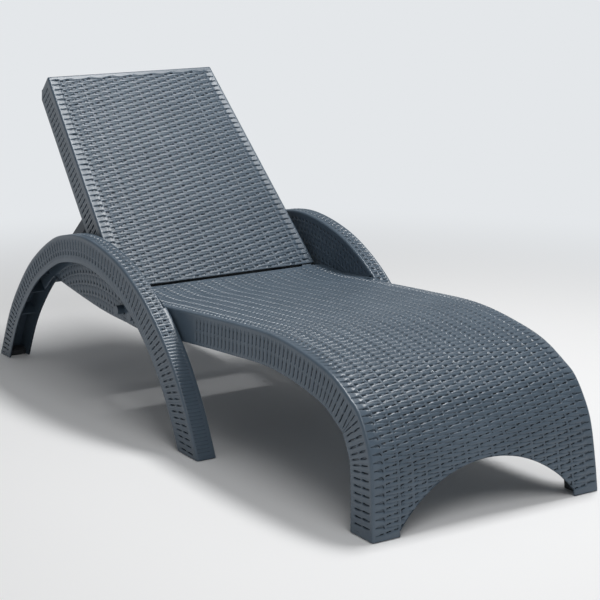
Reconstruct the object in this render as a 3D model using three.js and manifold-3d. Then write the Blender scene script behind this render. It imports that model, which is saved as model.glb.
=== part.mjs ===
// Sun lounger of moulded resin with a woven look, lengths in millimetres.
// +X points to the foot end, +Y to the left of whoever lies on it, +Z up.
// The pieces are drawn with x = 0 at the front leg's face on the ground. The whole is centred at the end.
import * as THREE from "three";
import { mergeVertices } from "three/addons/utils/BufferGeometryUtils.js";
import Module from "manifold-3d";

const wasm = await Module();
wasm.setup();

// Overall sizes
const overallLength = 1880;
const overallWidth = 730;
const armCrestRise = 90;
const seatLength = 1176;
const seatCrestHeight = 362;
const armOutset = 47.5;
const backrestLength = 721;
const backrestTaper = 43.7;
const backrestDepth = 78;

// Walls and fits
const shellWall = 4.5;
const ribWall = 3.5;
const ribRootShare = 0.8;
const clearance = 0.3;
const weldDistance = 0.0001;
const overrun = 20;
const flatTolerance = 0.005;
const edgeRadius = 9;

// Seat: its sides lean in with height and spread a little towards the backrest, both in degrees
const sideLean = 3.3;
const sideSpread = 0.37;
const skirtDepth = 77;
const frontLegDepth = 84;
const seatRibDepth = 42;
const seatRibSpacing = 165;
const seatLongRibPlace = 110;
const frontFootWidth = 72.5;
const frontCutHeight = 133;
const frontFootLand = 14;

// The deck's side outline from the ground back to the hinge, as shares of seatLength and seatCrestHeight
const deckOutlineShares = [
  [0, 0],
  [0.006, 0.202],
  [0.02, 0.472],
  [0.038, 0.602],
  [0.068, 0.738],
  [0.1, 0.804],
  [0.159, 0.898],
  [0.259, 0.967],
  [0.374, 1],
  [0.544, 0.97],
  [0.789, 0.906],
  [0.878, 0.879],
  [0.93, 0.876],
  [1, 0.888],
];

// Arms: an arch of U section, its legs wider than the strip over the top
const armFrontReach = 677;
const armStripWidth = 46.5;
const armFrontLegWidth = 54.5;
const armRearLegWidth = 64.5;
const armFrontBandDepth = 90;
const armCrestBandDepth = 76;
const armRearBandDepth = 61;
const armRibSpacing = 110;
const armRibDepthShare = 0.75;
const armRearLegDrop = 77;

// The arm's outer outline from the front foot to the rear foot, as shares of its span and height
const armOutlineShares = [
  [0, 0],
  [0.044, 0.241],
  [0.106, 0.487],
  [0.179, 0.681],
  [0.256, 0.823],
  [0.357, 0.938],
  [0.505, 1],
  [0.625, 0.958],
  [0.687, 0.898],
  [0.796, 0.721],
  [0.875, 0.52],
  [0.933, 0.325],
  [1, 0],
];

// The lower edge of the arm's inner panel from front to rear, as the same shares
const panelEdgeShares = [
  [0.19, 0.575],
  [0.315, 0.551],
  [0.399, 0.551],
  [0.497, 0.562],
  [0.722, 0.631],
  [0.775, 0.655],
];

// Backrest hinge: a line of two pins just in front of the backrest's lower end and below its face
const backrestAngle = 45;
const hingeGap = 17;
const hingeAhead = 14;
const hingeBelow = 12;
const hingePinRadius = 4;
const hingePinHead = 3;
const hingeEarWidth = 30;
const hingeEarRadius = 11;
const hingeEarInset = 28.7;
const hingeLugWall = 10;
const hingeLugRadius = 10;

// Backrest shell
const backrestTopChamfer = 20;
const backrestLipDepth = 20;
const backrestRibDepth = 14;
const backrestRibSpacing = 103;
const backrestLongRibPlace = 90;
const backrestEdgeRadius = 6;

// Prop: a frame hung in the backrest's hollow, as long as the way from the hinge to its own pivot,
// so that its foot bar travels level with the hinge
const propPivotUp = 291;
const propPivotDepth = 40;
const propLegInset = 36;
const propLegWidth = 22;
const propLegDepth = 30;
const propBraceDepth = 30;
const propBraceWall = 12;
const propPinRadius = 5;
const propPinHead = 3;
const propEarReach = 14;
const propEarSpread = 45;
const footBarRadius = 9;

// Rack frame: two notched rails from the seat's end wall to a bar between the arms' rear legs
const railInset = 29;
const railWidth = 24;
const railDepth = 40;
const railWall = 5;
const railSolidEnd = 40;
const barPlay = 1;
const notchDepth = 8;
const notchMargin = 14;
const rearBarLength = 32;
const rearBarDepth = 24;

// Recline positions in degrees from the one drawn, each with its notch, and the turn down to the flat one
const notchTurns = [15, 7.5, 0, -6.5, -13];
const flatTurn = -40;
const backrestPlay = 3;

// Screws and bolts
const screwRadius = 3;
const screwHeadRadius = 7;
const screwHeadHeight = 5;
const screwBossRadius = 12;
const screwBite = 24;
const armScrewDrop = 40;
const armScrewShares = [0.09, 0.36, 0.62, 0.89];
const railScrewInset = 10;
const railScrewLength = 30;

// Glides in the feet, standing a little proud of the soles
const glideHeight = 20;
const glideProud = 2;
const glideWidth = 48;
const glideDepthShare = 0.7;

// Facets
const deckStations = 52;
const armStations = 40;
const glideStations = 4;
const edgeSteps = 3;
const roundSteps = 16;

const slateResin = new THREE.MeshStandardMaterial({ name: "slate_resin", color: 0x5f6b78, roughness: 0.5 });
const propResin = new THREE.MeshStandardMaterial({ name: "prop_resin", color: 0x59636e, roughness: 0.55 });
const zincSteel = new THREE.MeshStandardMaterial({
  name: "zinc_steel",
  color: 0xa9adb1,
  roughness: 0.35,
  metalness: 1,
});
const glideRubber = new THREE.MeshStandardMaterial({
  name: "glide_rubber",
  color: 0x2e3236,
  roughness: 0.8,
});

const radians = THREE.MathUtils.degToRad;
const sides = [1, -1];

// A closed geometry as a solid that can be joined and cut
function solid(geometry) {
  const bare = geometry.clone();
  bare.deleteAttribute("normal");
  bare.deleteAttribute("uv");
  const merged = mergeVertices(bare, weldDistance);
  return new wasm.Manifold(
    new wasm.Mesh({
      numProp: 3,
      vertProperties: merged.attributes.position.array,
      triVerts: new Uint32Array(merged.index.array),
    }),
  );
}

// A solid as a named mesh
function piece(name, shape, material) {
  const surface = shape.asOriginal().simplify(flatTolerance).getMesh();
  const geometry = new THREE.BufferGeometry();
  const positions = new Float32Array(surface.vertProperties);
  geometry.setAttribute("position", new THREE.BufferAttribute(positions, 3));
  geometry.setIndex(new THREE.BufferAttribute(new Uint32Array(surface.triVerts), 1));
  geometry.computeVertexNormals();
  const mesh = new THREE.Mesh(geometry, material);
  mesh.name = name;
  return mesh;
}

function joined(solids) {
  return solids.reduce((whole, next) => whole.add(next));
}

function cutBy(whole, cutters) {
  return cutters.reduce((rest, cutter) => rest.subtract(cutter), whole);
}

function signedVolume(points, index) {
  let sum = 0;
  for (let i = 0; i < index.length; i += 3) {
    const [a, b, c] = [points[index[i]], points[index[i + 1]], points[index[i + 2]]];
    sum += a.dot(b.clone().cross(c));
  }
  return sum;
}

// A skin over rings of points, closed by its first and last ring; section is the ring's flat outline
function loft(rings, section) {
  const count = section.length;
  const index = [];
  for (let i = 0; i < rings.length - 1; i++) {
    for (let j = 0; j < count; j++) {
      const near = i * count + j;
      const next = i * count + ((j + 1) % count);
      index.push(near, next, next + count, near, next + count, near + count);
    }
  }
  const flat = section.map(([across, down]) => new THREE.Vector2(across, down));
  const last = (rings.length - 1) * count;
  for (const [a, b, c] of THREE.ShapeUtils.triangulateShape(flat, [])) {
    index.push(a, c, b, last + a, last + b, last + c);
  }
  const points = rings.flat();
  if (signedVolume(points, index) < 0) {
    index.reverse();
  }
  const geometry = new THREE.BufferGeometry().setFromPoints(points);
  geometry.setIndex(index);
  return geometry;
}

// A flat outline of [x, z] points, pulled from one side place to another
function sidePrism(outline, from, to) {
  const shape = new THREE.Shape(outline.map(([x, z]) => new THREE.Vector2(x, z)));
  const geometry = new THREE.ExtrudeGeometry(shape, { depth: Math.abs(to - from), bevelEnabled: false });
  geometry.rotateX(Math.PI / 2);
  geometry.translate(0, Math.max(from, to), 0);
  return solid(geometry);
}

// A round bar or hole across the lounger at an [x, z] place
function crossBar(radius, from, to, [x, z]) {
  const geometry = new THREE.CylinderGeometry(radius, radius, Math.abs(to - from), roundSteps);
  geometry.translate(x, (from + to) / 2, z);
  return solid(geometry);
}

// A round bar or hole along the lounger at a [y, z] place
function longBar(radius, from, to, [y, z]) {
  const geometry = new THREE.CylinderGeometry(radius, radius, Math.abs(to - from), roundSteps);
  geometry.rotateZ(Math.PI / 2);
  geometry.translate((from + to) / 2, y, z);
  return solid(geometry);
}

function box(low, high) {
  const geometry = new THREE.BoxGeometry(high[0] - low[0], high[1] - low[1], high[2] - low[2]);
  geometry.translate((low[0] + high[0]) / 2, (low[1] + high[1]) / 2, (low[2] + high[2]) / 2);
  return solid(geometry);
}

// A box on one side of the middle, between two distances from it
function sideBox(side, [fromX, toX], [inner, outer], [fromZ, toZ]) {
  const [a, b] = [side * inner, side * outer];
  return box([fromX, Math.min(a, b), fromZ], [toX, Math.max(a, b), toZ]);
}

// All the space between two heights
function slab(from, to) {
  return box([-2 * overallLength, -overallWidth, from], [overallLength, overallWidth, to]);
}

function below(height) {
  return slab(height - overallLength, height);
}

function above(height) {
  return slab(height, height + overallLength);
}

// All the space towards the head end of a place along the lounger
function behind(x) {
  return box([x - overallLength, -overallWidth, -overallWidth], [x, overallWidth, overallLength]);
}

// A smooth line through [x, z] places
function smoothLine(places) {
  const points = places.map(([x, z]) => new THREE.Vector3(x, 0, z));
  return new THREE.CatmullRomCurve3(points, false, "centripetal");
}

// The place, outward direction and way of a point on a line
function stationAt(line, way) {
  const share = THREE.MathUtils.clamp(way / line.getLength(), 0, 1);
  const at = line.getPointAt(share);
  const along = line.getTangentAt(share);
  return { x: at.x, z: at.z, nx: along.z, nz: -along.x, way };
}

function stationsOn(line, count, from = 0, to = line.getLength()) {
  const wayAt = (i) => THREE.MathUtils.lerp(from, to, i / count);
  return Array.from({ length: count + 1 }, (_, i) => stationAt(line, wayAt(i)));
}

// An outline carried on past both its ends, so that a cut can trim it
function withPastEnds(places) {
  const past = ([endX, endZ], [nextX, nextZ]) => {
    const step = overrun / Math.hypot(endX - nextX, endZ - nextZ);
    return [endX + (endX - nextX) * step, endZ + (endZ - nextZ) * step];
  };
  return [past(places[0], places[1]), ...places, past(places.at(-1), places.at(-2))];
}

// The place at a depth below a station
function under(station, depth) {
  return [station.x - station.nx * depth, station.z - station.nz * depth];
}

// A section that follows the stations; sectionAt gives [across, down] points
function sweep(stations, sectionAt) {
  const sections = stations.map(sectionAt);
  const rings = stations.map((station, i) =>
    sections[i].map(([across, down]) => {
      const [x, z] = under(station, down);
      return new THREE.Vector3(x, across, z);
    }),
  );
  return loft(rings, sections[0]);
}

// The points of a rounded edge, from the given angle on by a quarter turn
function roundedEdge(across, down, radius, startAngle) {
  return Array.from({ length: edgeSteps + 1 }, (_, i) => {
    const angle = startAngle + (i / edgeSteps) * (Math.PI / 2);
    return [across + radius * Math.cos(angle), down + radius * Math.sin(angle)];
  });
}

// The outside of a channel: two walls and a web with rounded edges
function hoodSection(left, right, depth, radius) {
  return [
    [left, depth],
    ...roundedEdge(left + radius, radius, radius, Math.PI),
    ...roundedEdge(right - radius, radius, radius, -Math.PI / 2),
    [right, depth],
  ];
}

// A channel that is open downwards
function channelSection(left, right, depth, wall, radius) {
  return [
    ...hoodSection(left, right, depth, radius),
    [right - wall, depth],
    [right - wall, wall],
    [left + wall, wall],
    [left + wall, depth],
  ];
}

function blockSection(left, right, from, to) {
  return [
    [left, from],
    [right, from],
    [right, to],
    [left, to],
  ];
}

// A plate square to a line at a station
function crossPlate(station, [left, right], [from, to], wall) {
  const geometry = new THREE.BoxGeometry(wall, Math.abs(right - left), to - from);
  geometry.rotateY(Math.atan2(station.nx, station.nz));
  const [x, z] = under(station, (from + to) / 2);
  geometry.translate(x, (left + right) / 2, z);
  return geometry;
}

// The outline of a bar with round ends between two [x, z] places
function barOutline(from, to, radius) {
  const slope = Math.atan2(to[1] - from[1], to[0] - from[0]);
  const end = ([x, z], start) =>
    Array.from({ length: roundSteps / 2 + 1 }, (_, i) => {
      const angle = start + (i / (roundSteps / 2)) * Math.PI;
      return [x + radius * Math.cos(angle), z + radius * Math.sin(angle)];
    });
  return [...end(from, slope + Math.PI / 2), ...end(to, slope - Math.PI / 2)];
}

// Where the lines of the object lie
const deckPlaces = deckOutlineShares.map(([along, up]) => [-along * seatLength, up * seatCrestHeight]);
const armCrestHeight = seatCrestHeight + armCrestRise;
const armRearLegTop = seatCrestHeight - armRearLegDrop;
const armSpan = overallLength - armFrontReach;
const onArm = ([along, up]) => [-armFrontReach - along * armSpan, up * armCrestHeight];
const armPlaces = armOutlineShares.map(onArm);
const panelEdge = panelEdgeShares.map(onArm);
const deckLine = smoothLine(withPastEnds(deckPlaces));
const armLine = smoothLine(withPastEnds(armPlaces));
const seatStations = stationsOn(deckLine, deckStations);
const archStations = stationsOn(armLine, armStations);
const seatEnd = deckPlaces.at(-1);
const outerPlane = overallWidth / 2;
const stripPlane = outerPlane - armStripWidth;
const frontLegPlane = outerPlane - armFrontLegWidth;
const rearLegPlane = outerPlane - armRearLegWidth;
const halfSeat = outerPlane - armOutset;
const ribRoot = shellWall * ribRootShare;
const archMiddle = -armFrontReach - armSpan / 2;

// Half the seat's width at a place on its side
function seatHalfWidth(x, z) {
  return halfSeat - z * Math.tan(radians(sideLean)) - x * Math.tan(radians(sideSpread));
}

// Moves a geometry's points sideways so that the seat's straight sides lean and spread
function leaned(geometry) {
  const at = geometry.getAttribute("position");
  for (let i = 0; i < at.count; i++) {
    at.setY(i, (at.getY(i) * seatHalfWidth(at.getX(i), at.getZ(i))) / halfSeat);
  }
  return geometry;
}

function skirtDepthAt(station) {
  const up = THREE.MathUtils.clamp(station.z / seatCrestHeight, 0, 1);
  return THREE.MathUtils.lerp(frontLegDepth, skirtDepth, up);
}

function deckHeight(x) {
  const after = seatStations.findIndex((station) => station.x <= x);
  const [a, b] = after < 1 ? seatStations.slice(-2) : [seatStations[after - 1], seatStations[after]];
  return THREE.MathUtils.lerp(a.z, b.z, (x - a.x) / (b.x - a.x));
}

// Backrest places: up along its face from the lower end, and depth behind the face
const backrestNormal = { nx: Math.sin(radians(backrestAngle)), nz: Math.cos(radians(backrestAngle)) };
const backrestFoot = [seatEnd[0] - hingeGap, seatEnd[1]];

function onBackrest(up, depth) {
  const angle = radians(backrestAngle);
  return [
    backrestFoot[0] - up * Math.cos(angle) - depth * Math.sin(angle),
    backrestFoot[1] + up * Math.sin(angle) - depth * Math.cos(angle),
  ];
}

const hingePlace = onBackrest(-hingeAhead, hingeBelow);
const propPivot = onBackrest(propPivotUp, propPivotDepth);
const propLength = Math.hypot(propPivot[0] - hingePlace[0], propPivot[1] - hingePlace[1]);
const propSlope = Math.asin((propPivot[1] - hingePlace[1]) / propLength);
const backrestBottomHalf = seatHalfWidth(backrestFoot[0], backrestFoot[1]);
const hingeEarPlace = backrestBottomHalf - hingeEarInset;

function backrestHalfWidth(up) {
  return backrestBottomHalf - (backrestTaper * up) / backrestLength;
}

const propLegPlace = backrestHalfWidth(propPivotUp) - propLegInset;
const propLegInner = propLegPlace - propLegWidth / 2;
const propLegOuter = propLegPlace + propLegWidth / 2;
const railPlace = propLegPlace - railInset;

// The foot bar's place when the backrest has turned by some degrees
function footBarPlace(turn) {
  return [hingePlace[0] - 2 * propLength * Math.cos(propSlope + radians(turn)), hingePlace[1]];
}

// Screws between the seat's skirts and the arms, from the front of the arm's panel to the seat's end
const armScrewTip = stripPlane + screwBite - shellWall;
const armScrewPlaces = armScrewShares.map((share) => {
  const x = THREE.MathUtils.lerp(panelEdge[0][0], seatEnd[0], share);
  return [x, deckHeight(x) - armScrewDrop];
});

// The arm's rear face at a height
function armRearFace(height) {
  const before = archStations.findLastIndex((station) => station.z > height);
  const [a, b] = [archStations[before], archStations[before + 1]];
  return THREE.MathUtils.lerp(a.x, b.x, (height - a.z) / (b.z - a.z));
}

// The height of the lain backrest's back edge at a place along the lounger
function flatBackrestHeight(x) {
  const slope = radians(backrestAngle + flatTurn);
  const rise = (hingePlace[0] - x) * Math.tan(slope);
  return hingePlace[1] + rise - (backrestDepth - hingeBelow) / Math.cos(slope);
}

const railTop = hingePlace[1] - footBarRadius - barPlay;
const rearBarFront = armRearFace(railTop) + (armRearBandDepth + rearBarLength) / 2;
const rearBarTop = Math.min(railTop - notchDepth, flatBackrestHeight(rearBarFront) - backrestPlay);
const rearBarMiddle = rearBarTop - rearBarDepth / 2;
const rearBoltPlace = [armRearFace(rearBarMiddle) + armRearBandDepth / 2, rearBarMiddle];

// How far from the middle a screw's head stands against the skirt's inner face
function armScrewSeat([x, z]) {
  return seatHalfWidth(x, z + screwHeadRadius) - shellWall - 2 * clearance;
}

// Screws between the seat's end wall and the rails, as [y, z]
const railScrewPlaces = sides.flatMap((side) =>
  [railScrewInset, railDepth - railScrewInset].map((drop) => [side * railPlace, railTop - drop]),
);

// The room for a screw's head, from its seat inwards (-1) or outwards (1)
function headRoom(side, from, way, place) {
  const to = from + way * (screwHeadHeight + clearance);
  return crossBar(screwHeadRadius + clearance, side * from, side * to, place);
}

// The seat's outside as a full solid, grown by a gap
function seatHood(grow) {
  const stations = seatStations.map((station) => ({
    ...station,
    x: station.x + station.nx * grow,
    z: station.z + station.nz * grow,
  }));
  return solid(
    leaned(
      sweep(stations, (station) =>
        hoodSection(-halfSeat - grow, halfSeat + grow, skirtDepthAt(station) + 2 * grow, edgeRadius),
      ),
    ),
  );
}

// The arched opening in the front leg, with a short upright land on each foot
function frontCut() {
  const half = halfSeat - frontFootWidth;
  const rise = frontCutHeight - frontFootLand;
  const radius = (half * half + rise * rise) / (2 * rise);
  const centre = frontCutHeight - radius;
  const start = Math.atan2(frontFootLand - centre, half);
  const shape = new THREE.Shape();
  shape.moveTo(half, -overrun);
  shape.lineTo(half, frontFootLand);
  shape.absarc(0, centre, radius, start, Math.PI - start, false);
  shape.lineTo(-half, -overrun);
  const depth = frontLegDepth + overrun;
  const settings = { depth, bevelEnabled: false, curveSegments: roundSteps };
  const geometry = new THREE.ExtrudeGeometry(shape, settings);
  geometry.rotateX(Math.PI / 2);
  geometry.rotateZ(Math.PI / 2);
  geometry.translate(-frontLegDepth, 0, 0);
  return solid(geometry);
}

// The two lugs that hold one hinge pin, reaching back from the end wall
function hingeLugs(side) {
  const root = [seatEnd[0] + shellWall / 2, hingePlace[1]];
  const outline = barOutline(hingePlace, root, hingeLugRadius).filter(([x]) => x <= root[0] + clearance);
  const inner = hingeEarPlace - hingeEarWidth / 2 - clearance;
  const outer = hingeEarPlace + hingeEarWidth / 2 + clearance;
  return [
    sidePrism(outline, side * (inner - hingeLugWall), side * inner),
    sidePrism(outline, side * outer, side * (outer + hingeLugWall)),
  ];
}

function seatShell() {
  const shell = solid(
    leaned(
      sweep(seatStations, (station) =>
        channelSection(-halfSeat, halfSeat, skirtDepthAt(station), shellWall, edgeRadius),
      ),
    ),
  );
  const reach = deckLine.getLength();
  const inside = [ribRoot - halfSeat, halfSeat - ribRoot];
  const ribCount = Math.round(reach / seatRibSpacing);
  const crossRibs = stationsOn(deckLine, ribCount)
    .slice(1, -1)
    .map((station) => solid(leaned(crossPlate(station, inside, [ribRoot, seatRibDepth], ribWall))));
  const longRibs = sides.map((side) =>
    solid(
      sweep(seatStations, () => {
        const middle = side * seatLongRibPlace;
        return blockSection(middle - ribWall / 2, middle + ribWall / 2, ribRoot, seatRibDepth);
      }),
    ),
  );
  const endWall = seatHood(0).intersect(behind(seatEnd[0] + shellWall));
  const headRooms = (side) => armScrewPlaces.map((place) => headRoom(side, armScrewSeat(place), -1, place));
  const holes = [
    crossBar(hingePinRadius + clearance, -halfSeat, halfSeat, hingePlace),
    ...armScrewPlaces.map((place) => crossBar(screwRadius + clearance, -outerPlane, outerPlane, place)),
    ...sides.flatMap(headRooms),
    ...railScrewPlaces.map((place) =>
      longBar(screwRadius + clearance, seatEnd[0] - overrun, seatEnd[0] + overrun, place),
    ),
  ];
  const trimmed = cutBy(joined([shell, endWall, ...crossRibs, ...longRibs]), [
    frontCut(),
    below(glideProud),
    behind(seatEnd[0]),
  ]);
  return cutBy(joined([trimmed, ...sides.flatMap(hingeLugs)]), holes);
}

// Rack frame
function rackFrame() {
  const front = seatEnd[0] - clearance;
  const [barRear, barFront] = [-1, 1].map((way) => rearBoltPlace[0] + (way * rearBarLength) / 2);
  const lastNotch = footBarPlace(notchTurns.at(-1))[0] - footBarRadius - notchMargin;
  const rear = Math.min(lastNotch, barRear);
  const inner = railPlace - railWidth / 2;
  const outer = railPlace + railWidth / 2;
  const hollows = [
    [rear + railWall, barRear],
    [barFront, front - railSolidEnd],
  ].filter(([from, to]) => to > from);
  const hollowHeights = [railTop - railDepth - overrun, railTop - notchDepth - railWall];
  const rails = sides.map((side) =>
    cutBy(
      sideBox(side, [rear, front], [inner, outer], [railTop - railDepth, railTop]),
      hollows.map((reach) => sideBox(side, reach, [inner + railWall, outer - railWall], hollowHeights)),
    ),
  );
  const bar = box(
    [barRear, clearance - rearLegPlane, rearBarTop - rearBarDepth],
    [barFront, rearLegPlane - clearance, rearBarTop],
  );
  const notches = notchTurns.map((turn) => {
    const [x, z] = footBarPlace(turn);
    return crossBar(footBarRadius + clearance, -outer - overrun, outer + overrun, [x, z - notchDepth]);
  });
  const holes = [
    crossBar(screwRadius + clearance, -outerPlane, outerPlane, rearBoltPlace),
    ...railScrewPlaces.map((place) =>
      longBar(screwRadius + clearance, front - railScrewLength, front + overrun, place),
    ),
  ];
  return cutBy(joined([...rails, bar]), [...notches, ...holes]);
}

// Arms
function bandDepthAt(station) {
  const back = THREE.MathUtils.clamp((-armFrontReach - station.x) / armSpan, 0, 1);
  const fromCrest = Math.abs(2 * back - 1);
  const legDepth = station.x > archMiddle ? armFrontBandDepth : armRearBandDepth;
  return THREE.MathUtils.lerp(armCrestBandDepth, legDepth, THREE.MathUtils.smoothstep(fromCrest, 0, 1));
}

// Where the arch rises past the deck, and where its rear leg ends
const deckCrossing = archStations.findIndex((station) => station.z > deckHeight(station.x));
const innerCrossing = archStations.findIndex((station) => {
  const [x, z] = under(station, bandDepthAt(station));
  return z > deckHeight(x);
});
const rearCrossing = archStations.findLastIndex((station) => station.z > armRearLegTop);

function armSection(side, inner, depth, wall) {
  const [left, right] = side > 0 ? [inner, outerPlane] : [-outerPlane, -inner];
  return channelSection(left, right, depth, wall, edgeRadius);
}

function armChannel(side, from, to, inner) {
  return solid(
    sweep(archStations.slice(from, to + 1), (station) =>
      armSection(side, inner, bandDepthAt(station), shellWall),
    ),
  );
}

// The space over the deck, between the strip and the middle
function overDeck() {
  const beside = seatStations.filter((station) => station.x < -armFrontReach);
  const line = beside.map((station) => [station.x, station.z]);
  const [first, last] = [line[0], line.at(-1)];
  const roof = armCrestHeight + overrun;
  return sidePrism([...line, [last[0], roof], [first[0], roof]], -stripPlane, stripPlane);
}

// The panel that closes the arch on the inside, down to the level of the seat's skirt
function innerPanel(side) {
  const [front, rear] = [panelEdge[0], panelEdge.at(-1)];
  const roof = archStations
    .filter((station) => station.x < front[0] && station.x > rear[0])
    .map((station) => under(station, shellWall / 2));
  const edge = stationsOn(smoothLine(panelEdge), roundSteps).map((station) => [station.x, station.z]);
  return sidePrism([...roof, ...edge.reverse()], side * stripPlane, side * (stripPlane + shellWall));
}

// The ledge that fills the gap between the deck's edge and the arm
function deckLedge(side) {
  const line = seatStations.filter((station) => station.x < archStations[deckCrossing].x);
  const top = line.map((station) => [station.x, station.z - clearance]);
  const bottom = line.map((station) => [station.x, station.z - shellWall]).reverse();
  const strip = sidePrism([...top, ...bottom], side * rearLegPlane, side * (stripPlane + shellWall / 2));
  return strip.subtract(behind(seatEnd[0]));
}

// The flat top of the rear leg's wider part
function rearLegCap(side) {
  const filled = solid(
    sweep(archStations.slice(rearCrossing - 1), (station) => {
      const [left, right] = side > 0 ? [rearLegPlane, stripPlane] : [-stripPlane, -rearLegPlane];
      return blockSection(left, right, shellWall / 2, bandDepthAt(station));
    }),
  );
  return filled.intersect(slab(armRearLegTop - shellWall, armRearLegTop));
}

function armRibs(side) {
  const reach = armLine.getLength();
  const count = Math.round(reach / armRibSpacing);
  return stationsOn(armLine, count)
    .slice(1, -1)
    .filter((station) => station.z > glideHeight + ribWall + armRearBandDepth)
    .map((station) => {
      const legPlane = station.x > archMiddle ? frontLegPlane : rearLegPlane;
      const inner = station.z > armRearLegTop ? stripPlane : legPlane;
      const span = [side * (inner + ribRoot), side * (outerPlane - ribRoot)];
      const depth = [ribRoot, bandDepthAt(station) * armRibDepthShare];
      return solid(crossPlate(station, span, depth, ribWall));
    });
}

function arm(side) {
  const last = armStations;
  const frontLeg = armChannel(side, 0, innerCrossing, frontLegPlane).subtract(overDeck());
  const bow = armChannel(side, deckCrossing - 1, rearCrossing + 1, stripPlane);
  const rearCut = sideBox(
    side,
    [-overallLength, archMiddle],
    [0, stripPlane],
    [armRearLegTop, armRearLegTop + overallLength],
  );
  const rearLeg = armChannel(side, rearCrossing - 1, last, rearLegPlane).subtract(rearCut);
  const bosses = armScrewPlaces.map((place) =>
    crossBar(screwBossRadius, side * rearLegPlane, side * (stripPlane + screwBite), place),
  );
  const hole = (end, place) => crossBar(screwRadius + clearance, 0, side * end, place);
  const holes = armScrewPlaces.map((place) => hole(armScrewTip, place));
  const boltHole = hole(rearLegPlane + 2 * shellWall, rearBoltPlace);
  const body = joined([
    frontLeg,
    bow,
    rearLeg,
    rearLegCap(side),
    innerPanel(side),
    deckLedge(side),
    ...armRibs(side),
    ...bosses,
  ]);
  const boltRoom = headRoom(side, rearLegPlane + shellWall, 1, rearBoltPlace);
  return cutBy(body, [below(glideProud), seatHood(clearance), boltHole, boltRoom, ...holes]);
}

// Backrest, drawn straight up its face
function backrestStation(up) {
  const [x, z] = onBackrest(up, 0);
  return { x, z, ...backrestNormal, way: up };
}

function hingeEar(side) {
  const root = onBackrest(hingeEarRadius, hingeBelow);
  const outline = barOutline(hingePlace, root, hingeEarRadius);
  const half = hingeEarWidth / 2;
  return sidePrism(outline, side * (hingeEarPlace - half), side * (hingeEarPlace + half));
}

// The two ears that hold one prop pin
function propEars(side) {
  const outline = [
    onBackrest(propPivotUp - propEarSpread, shellWall / 2),
    onBackrest(propPivotUp - propEarReach, propPivotDepth + propEarReach),
    onBackrest(propPivotUp + propEarReach, propPivotDepth + propEarReach),
    onBackrest(propPivotUp + propEarSpread, shellWall / 2),
  ];
  return [
    sidePrism(outline, side * (propLegInner - clearance - ribWall), side * (propLegInner - clearance)),
    sidePrism(outline, side * (propLegOuter + clearance), side * (propLegOuter + clearance + ribWall)),
  ];
}

function backrestShell() {
  const top = backrestLength - backrestTopChamfer;
  const depthAt = (up) => (up > top ? backrestDepth - backrestTopChamfer : backrestDepth);
  const shell = solid(
    sweep([0, top, backrestLength].map(backrestStation), (station) => {
      const half = backrestHalfWidth(station.way);
      return channelSection(-half, half, depthAt(station.way), shellWall, backrestEdgeRadius);
    }),
  );
  const across = (up, depth, wall) => {
    const half = backrestHalfWidth(up + wall) - ribRoot;
    return solid(crossPlate(backrestStation(up), [-half, half], [ribRoot, depth], wall));
  };
  const ends = [
    across(shellWall / 2, backrestLipDepth, shellWall),
    across(backrestLength - shellWall / 2, backrestDepth - backrestTopChamfer, shellWall),
  ];
  const ribCount = Math.round(backrestLength / backrestRibSpacing);
  const crossRibs = Array.from({ length: ribCount - 1 }, (_, i) =>
    across(((i + 1) * backrestLength) / ribCount, backrestRibDepth, ribWall),
  );
  const longRibs = sides.map((side) =>
    solid(
      sweep([shellWall / 2, backrestLength - shellWall / 2].map(backrestStation), () => {
        const middle = side * backrestLongRibPlace;
        return blockSection(middle - ribWall / 2, middle + ribWall / 2, ribRoot, backrestRibDepth);
      }),
    ),
  );
  const ears = [...sides.flatMap(propEars), ...sides.map(hingeEar)];
  const body = joined([shell, ...ends, ...crossRibs, ...longRibs, ...ears]);
  return cutBy(body, [
    crossBar(hingePinRadius + clearance, -outerPlane, outerPlane, hingePlace),
    ...sides.map((side) =>
      crossBar(
        propPinRadius + clearance,
        side * (propLegInner - propPinHead - 2 * ribWall),
        side * (propLegOuter + 2 * ribWall),
        propPivot,
      ),
    ),
  ]);
}

// Prop: two legs with a brace between them and a steel bar through their feet
function propFrame() {
  const foot = footBarPlace(0);
  const outline = barOutline(propPivot, foot, propLegDepth / 2);
  const legs = sides.map((side) => sidePrism(outline, side * propLegInner, side * propLegOuter));
  const brace = new THREE.BoxGeometry(propBraceDepth, 2 * propLegPlace, propBraceWall);
  brace.rotateY(-propSlope);
  brace.translate((propPivot[0] + foot[0]) / 2, 0, (propPivot[1] + foot[1]) / 2);
  return cutBy(joined([...legs, solid(brace)]), [
    crossBar(propPinRadius + clearance, -outerPlane, outerPlane, propPivot),
    crossBar(footBarRadius + clearance, -outerPlane, outerPlane, foot),
  ]);
}

// A pin or screw across the lounger with a head at its first end
function headedPin(shankRadius, headRadius, headHeight, from, to, place) {
  const way = Math.sign(to - from);
  return crossBar(shankRadius, from, to, place).add(
    crossBar(headRadius, from - way * headHeight, from, place).add(
      crossBar(shankRadius, from - way * clearance, from + way * clearance, place),
    ),
  );
}

function hingePin(side) {
  const half = hingeEarWidth / 2 + hingeLugWall + 2 * clearance;
  const from = side * (hingeEarPlace - half);
  const head = hingeLugRadius - hingePinHead;
  return headedPin(hingePinRadius, head, hingePinHead, from, side * (hingeEarPlace + half), hingePlace);
}

function propPin(side) {
  const from = side * (propLegInner - ribWall - 2 * clearance);
  const to = side * (propLegOuter + ribWall + 2 * clearance);
  return headedPin(propPinRadius, propPinRadius + propPinHead, propPinHead, from, to, propPivot);
}

function armScrew(side, place) {
  const from = side * armScrewSeat(place);
  const to = side * (armScrewTip - clearance);
  return headedPin(screwRadius, screwHeadRadius, screwHeadHeight, from, to, place);
}

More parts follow.
